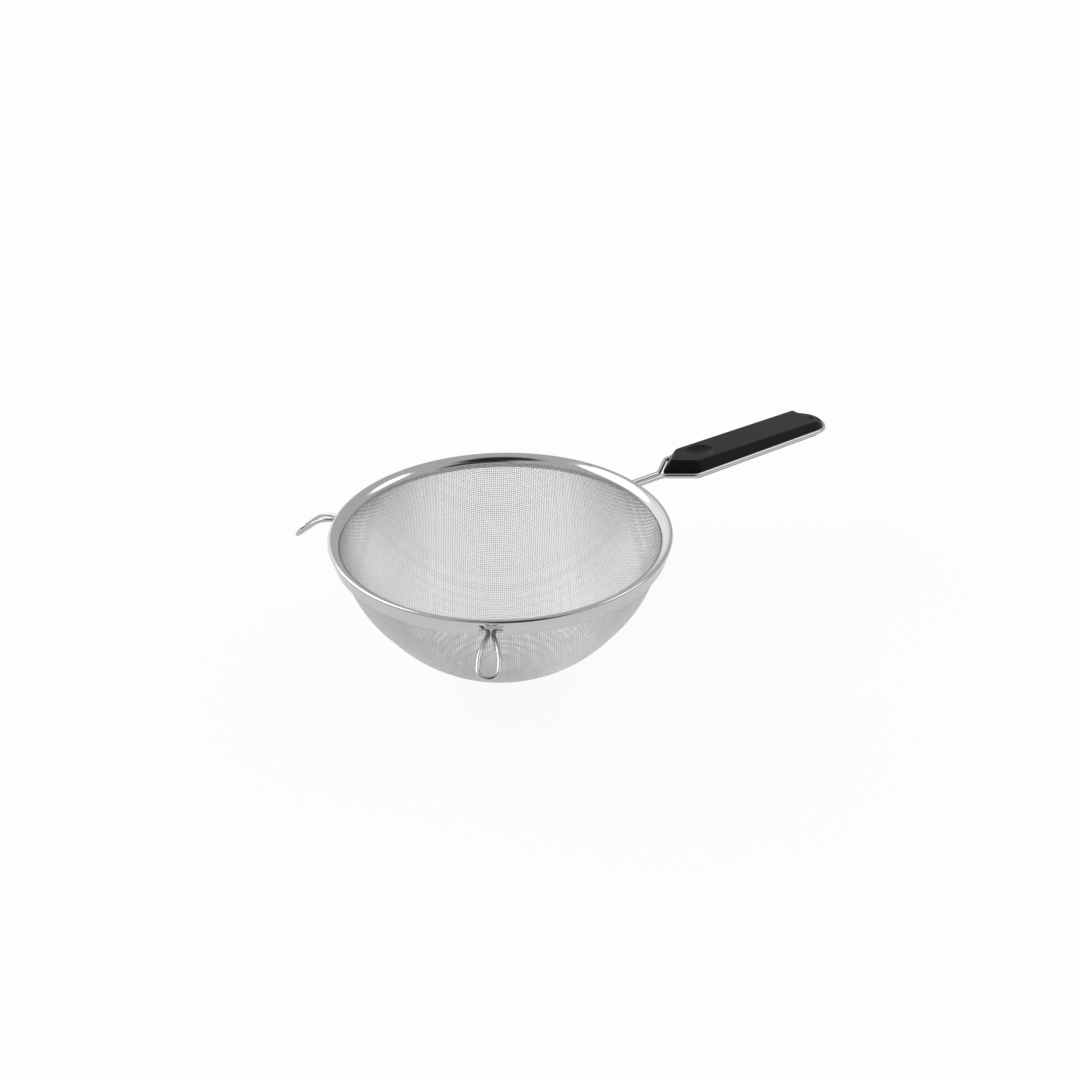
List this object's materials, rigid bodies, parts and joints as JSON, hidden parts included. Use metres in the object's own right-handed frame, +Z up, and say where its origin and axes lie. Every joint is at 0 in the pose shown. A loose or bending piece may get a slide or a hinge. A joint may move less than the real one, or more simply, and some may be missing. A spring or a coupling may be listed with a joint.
{
  "type": "kitchen sieve",
  "caption": "Round-bottomed wire mesh sieve with a rolled steel rim, a wire loop handle with a moulded black grip, and wire rest loops opposite.",
  "frame": {"origin": "middle of the small pressed flat under the bowl, on the surface that it rests on", "axes": "+Z up out of the bowl's mouth, +X along the handle away from the bowl, +Y to the left of the handle seen from above"},
  "size_m": [0.3749, 0.2069, 0.0919],
  "materials": {
    "mesh_steel": "bright drawn stainless wire, woven",
    "rim_steel": "polished stainless strip with fine lengthwise lines",
    "wire_steel": "polished drawn stainless wire",
    "grip_plastic": "moulded black plastic, satin"
  },
  "bodies": {
    "root": {"mesh_bowl": "mesh_steel", "rim_band": "rim_steel", "handle_wire": "wire_steel", "rest_lug_left": "wire_steel", "rest_lug_right": "wire_steel", "grip": "grip_plastic"}
  },
  "joints": []
}
